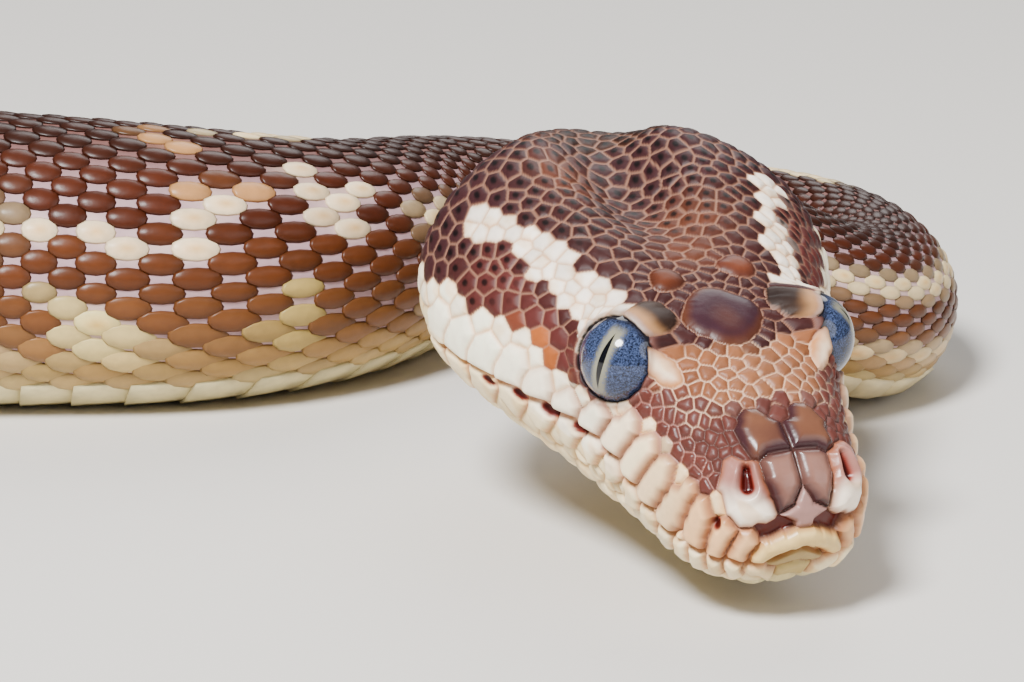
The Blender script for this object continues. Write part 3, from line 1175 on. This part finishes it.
keeled = ~big * step(back, 31, 38) * step(high, 3.0, 5.0) * (1 - step(tone.sum(1), 0.4, 0.7))
tone = mix(tone, tone * 0.12, keeled * (1 - step(from_seed, 0.22, 0.44)))
for colour, share in (
        (rgb(170, 96, 60), seam * 0.45 * (back < 43)),  # the line of the mouth
        (rgb(150, 62, 50), step(hole, 0.2, 0.6)), (rgb(60, 8, 5), step(hole, 0.35, 0.8)),  # pits
        (rgb(112, 74, 66), hump(wide - RIM - 0.38, 0.22) * 0.6),  # the rims of the eyes
        (rgb(20, 14, 16), np.maximum(hump(wide - RIM - 0.02, 0.20), wide < RIM) * 0.95)):
    tone = mix(tone, colour, share)
print("mean colour of the head", tone.mean(0).round(3))

# %% Four rings of the coat
GLOSS = {"internasal": 0.25, "prefrontal": 0.27, "nasal": 0.27, "rostral_top": 0.32,
         "rostral_bar": 0.32, "frontal": 0.36, "parietal": 0.42, "parietal_left": 0.42,
         "recess": 0.30, "upper_lip": 0.38, "upper_lip_2": 0.34, "upper_lip_3": 0.34,
         "lower_lip": 0.40}
RING_ENDS = (15.5, 29.0, 43.0)
rough = np.full(len(tone), 0.50) - 0.10 * (1 - step(back, 16, 24)) * (degrees > 48)
for name, value in GLOSS.items():
    rough[plate_name == name] = value
index = np.arange(len(coat)).reshape(GRID)
normals = grid_normals(coat)
cuts = [0, *(int(np.searchsorted(head_at, s)) for s in RING_ENDS), GRID[0] - 1]
for number, (first, last) in enumerate(zip(cuts, cuts[1:])):
    rows = last - first + 1
    mesh, row, across = flat_grid("head_scales_%d" % (number + 1), rows, HEAD_COLUMNS)
    chosen = index[first + row, np.rint(across * HEAD_COLUMNS).astype(int)]
    place_all(mesh, coat[chosen])
    paint(mesh, np.clip(tone[chosen], 0, 1), rough[chosen])
    bake_map(mesh, across, row / (rows - 1))
    keep_vectors(mesh, "way_out", normals[chosen])
    close_seam(mesh)
    finished(mesh, CROWN_PLATE if number else PLATE)
    way_out = vectors_of(mesh.attributes["way_out"].data, "vector").tolist()
    mesh.attributes.remove(mesh.attributes["way_out"])
    mesh.normals_split_custom_set_from_vertices(way_out)
    print(mesh.name, len(mesh.polygons), "faces")

# %% [markdown]
# ## The eyes
# A python's eye has no lids: a clear scale covers it. The iris is blue-grey and speckled, with
# an upright slit of a pupil and a pale band on each side of it. The pattern is drawn by nodes
# from the eye's own axes, kept on each corner of the ball, so that it stays sharp.

# %% The finish of the eye
IRIS_DARK, IRIS_LIGHT, PALE_BAND = rgb(4, 6, 14), rgb(70, 84, 122), rgb(136, 132, 110)
PUPIL, IRIS_RIM = rgb(6, 6, 10), rgb(22, 20, 26)
SLIT_HALF_WIDTH, SLIT_HALF_LENGTH = 0.30, 2.75


def eye_finish():
    """Speckled iris, pale bands and slit, drawn from the eye's own axes in millimetres."""
    made, tree, shader = new_finish("eye_blue_grey", 0.12, 0.3, 0.35)

    def sum_node(kind, *values):
        return add_node(tree, "Math", enumerate(values), operation=kind).outputs[0]

    def blend_node(first, second, share):
        if isinstance(first, np.ndarray):
            first = (*first, 1.0)
        return add_node(tree, "Mix", {0: share, 6: first, 7: (*second, 1.0)},
                        data_type="RGBA").outputs[2]

    def soft_step(value, low, high):
        return add_node(tree, "MapRange", {0: value, 1: low, 2: high},
                        interpolation_type="SMOOTHSTEP").outputs[0]

    place = add_node(tree, "Attribute", attribute_name="eye_place").outputs["Vector"]
    across_it, upward = add_node(tree, "SeparateXYZ", {0: place}).outputs[:2]
    speck = add_node(tree, "TexNoise", {"Vector": place, "Scale": 5.5, "Detail": 6.0,
                                        "Roughness": 0.75}).outputs["Fac"]
    iris = blend_node(IRIS_DARK, IRIS_LIGHT, soft_step(speck, 0.36, 0.68))
    spread, upright = (sum_node("ABSOLUTE", axis) for axis in (across_it, upward))
    from_slit = sum_node("ADD", spread, sum_node("MULTIPLY_ADD", speck, 1.6, -0.8))
    band = sum_node("SUBTRACT", 1.0, soft_step(from_slit, 0.40, 1.05))
    tall = sum_node("SUBTRACT", 1.0, soft_step(upright, 2.7, 3.6))
    share = sum_node("MULTIPLY", band, sum_node("MULTIPLY", tall, 0.85))
    iris = blend_node(iris, PALE_BAND, share)
    bow = sum_node("POWER", sum_node("MULTIPLY", upright, 1 / SLIT_HALF_LENGTH), 2.0)
    wide_at = sum_node("MULTIPLY", sum_node("SUBTRACT", 1.0, bow), SLIT_HALF_WIDTH)
    slit = soft_step(sum_node("SUBTRACT", wide_at, spread), -0.03, 0.03)
    squares = (sum_node("MULTIPLY", axis, axis) for axis in (across_it, upward))
    from_middle = sum_node("SQRT", sum_node("ADD", *squares))
    colour = blend_node(blend_node(iris, PUPIL, slit), IRIS_RIM, soft_step(from_middle, 3.45, 3.95))
    tree.links.new(colour, shader.inputs["Base Color"])
    print("eye finish", len(tree.nodes), "nodes")
    return made


EYE = eye_finish()


# %% Two eyeballs with their own axes
def eyeball(name, way, solid):
    """A ball whose corners know their place across, up and out of the eye."""
    gaze = unit(GAZE[way] + np.array([-0.09, 0.0, 0.0]))
    lean = np.array([0.12, 0.0, 1.0])
    upright = unit(lean - gaze * (lean @ gaze))
    bm = bmesh.new()
    bmesh.ops.create_uvsphere(bm, u_segments=64, v_segments=40, radius=EYE_RADIUS - 0.04)
    mesh = mesh_of(name, bm)
    corners = vectors_of(mesh.vertices, "co").astype(float)
    axes = np.column_stack([np.cross(upright, gaze), upright, gaze])
    keep_vectors(mesh, "eye_place", corners @ axes)
    place_all(mesh, head_place(*EYES[way]) + corners @ HEAD_AXES)
    close_seam(mesh, 1e-7)
    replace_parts(finished(mesh, EYE), solid)
    print(name, len(mesh.polygons), "faces")


eyeball("left_eyeball", 1, "eye_left")
eyeball("right_eyeball", -1, "eye_right")

# %% [markdown]
# ## Floor, light and camera
# The floor is plain and pale. A large soft light stands to the left in front, a weaker one to
# the right, and one behind gives the scales an edge. The camera looks down a little, close to
# the floor, with a long lens.

# %% Floor
bm = bmesh.new()
bmesh.ops.create_grid(bm, x_segments=1, y_segments=1, size=4.0)
floor = put("floor", mesh_of("floor", bm))
floor_finish, _, shader = new_finish("pale_floor", 0.9)
shader.inputs["Base Color"].default_value = (*rgb(206, 202, 196), 1.0)
floor.data.materials.append(floor_finish)
floor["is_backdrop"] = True
print("floor", floor.dimensions[:2], "m")

# %% Lights
snout = Vector((head_place(0, 0, 0) + SHIFT) * 0.001)


def soft_light(name, offset, size, power):
    """A round lamp beside the snout that looks at it."""
    lamp = bpy.data.lights.new(name, "AREA")
    lamp.shape, lamp.size, lamp.energy = "DISK", size, power
    made = put(name, lamp)
    made.location = snout + Vector(offset)
    made.rotation_mode = "QUATERNION"
    made.rotation_quaternion = (snout - made.location).to_track_quat("-Z", "Y")
    print(name, power, "W")


soft_light("key", (-0.34, -0.50, 0.80), 0.30, 29.0)
soft_light("fill", (0.70, -0.45, 0.45), 0.7, 3.6)
soft_light("back", (0.15, 0.9, 0.8), 0.8, 7.0)
world = bpy.data.worlds.new("studio")
bpy.context.scene.world = world
world.use_nodes = True
air = world.node_tree.nodes["Background"].inputs
air["Color"].default_value, air["Strength"].default_value = (0.55, 0.58, 0.62, 1.0), 0.28

# %% Camera
CAMERA_TILT = math.radians(16.0)
CAMERA_FROM_SNOUT = Vector((-0.02587, -0.28918, 0.10348))
lens = bpy.data.cameras.new("camera")
lens.lens, lens.sensor_width, lens.clip_start = 120.0, 36.0, 0.01
camera = put("camera", lens)
camera.location = snout + CAMERA_FROM_SNOUT
camera.rotation_euler = (math.pi / 2 - CAMERA_TILT, 0.0, 0.0)
bpy.context.scene.camera = camera
print("camera at", [round(v, 4) for v in camera.location])

# %% Write the sizes and finish
low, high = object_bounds()
print("dressed", [round(v, 4) for v in (*low, *high)])
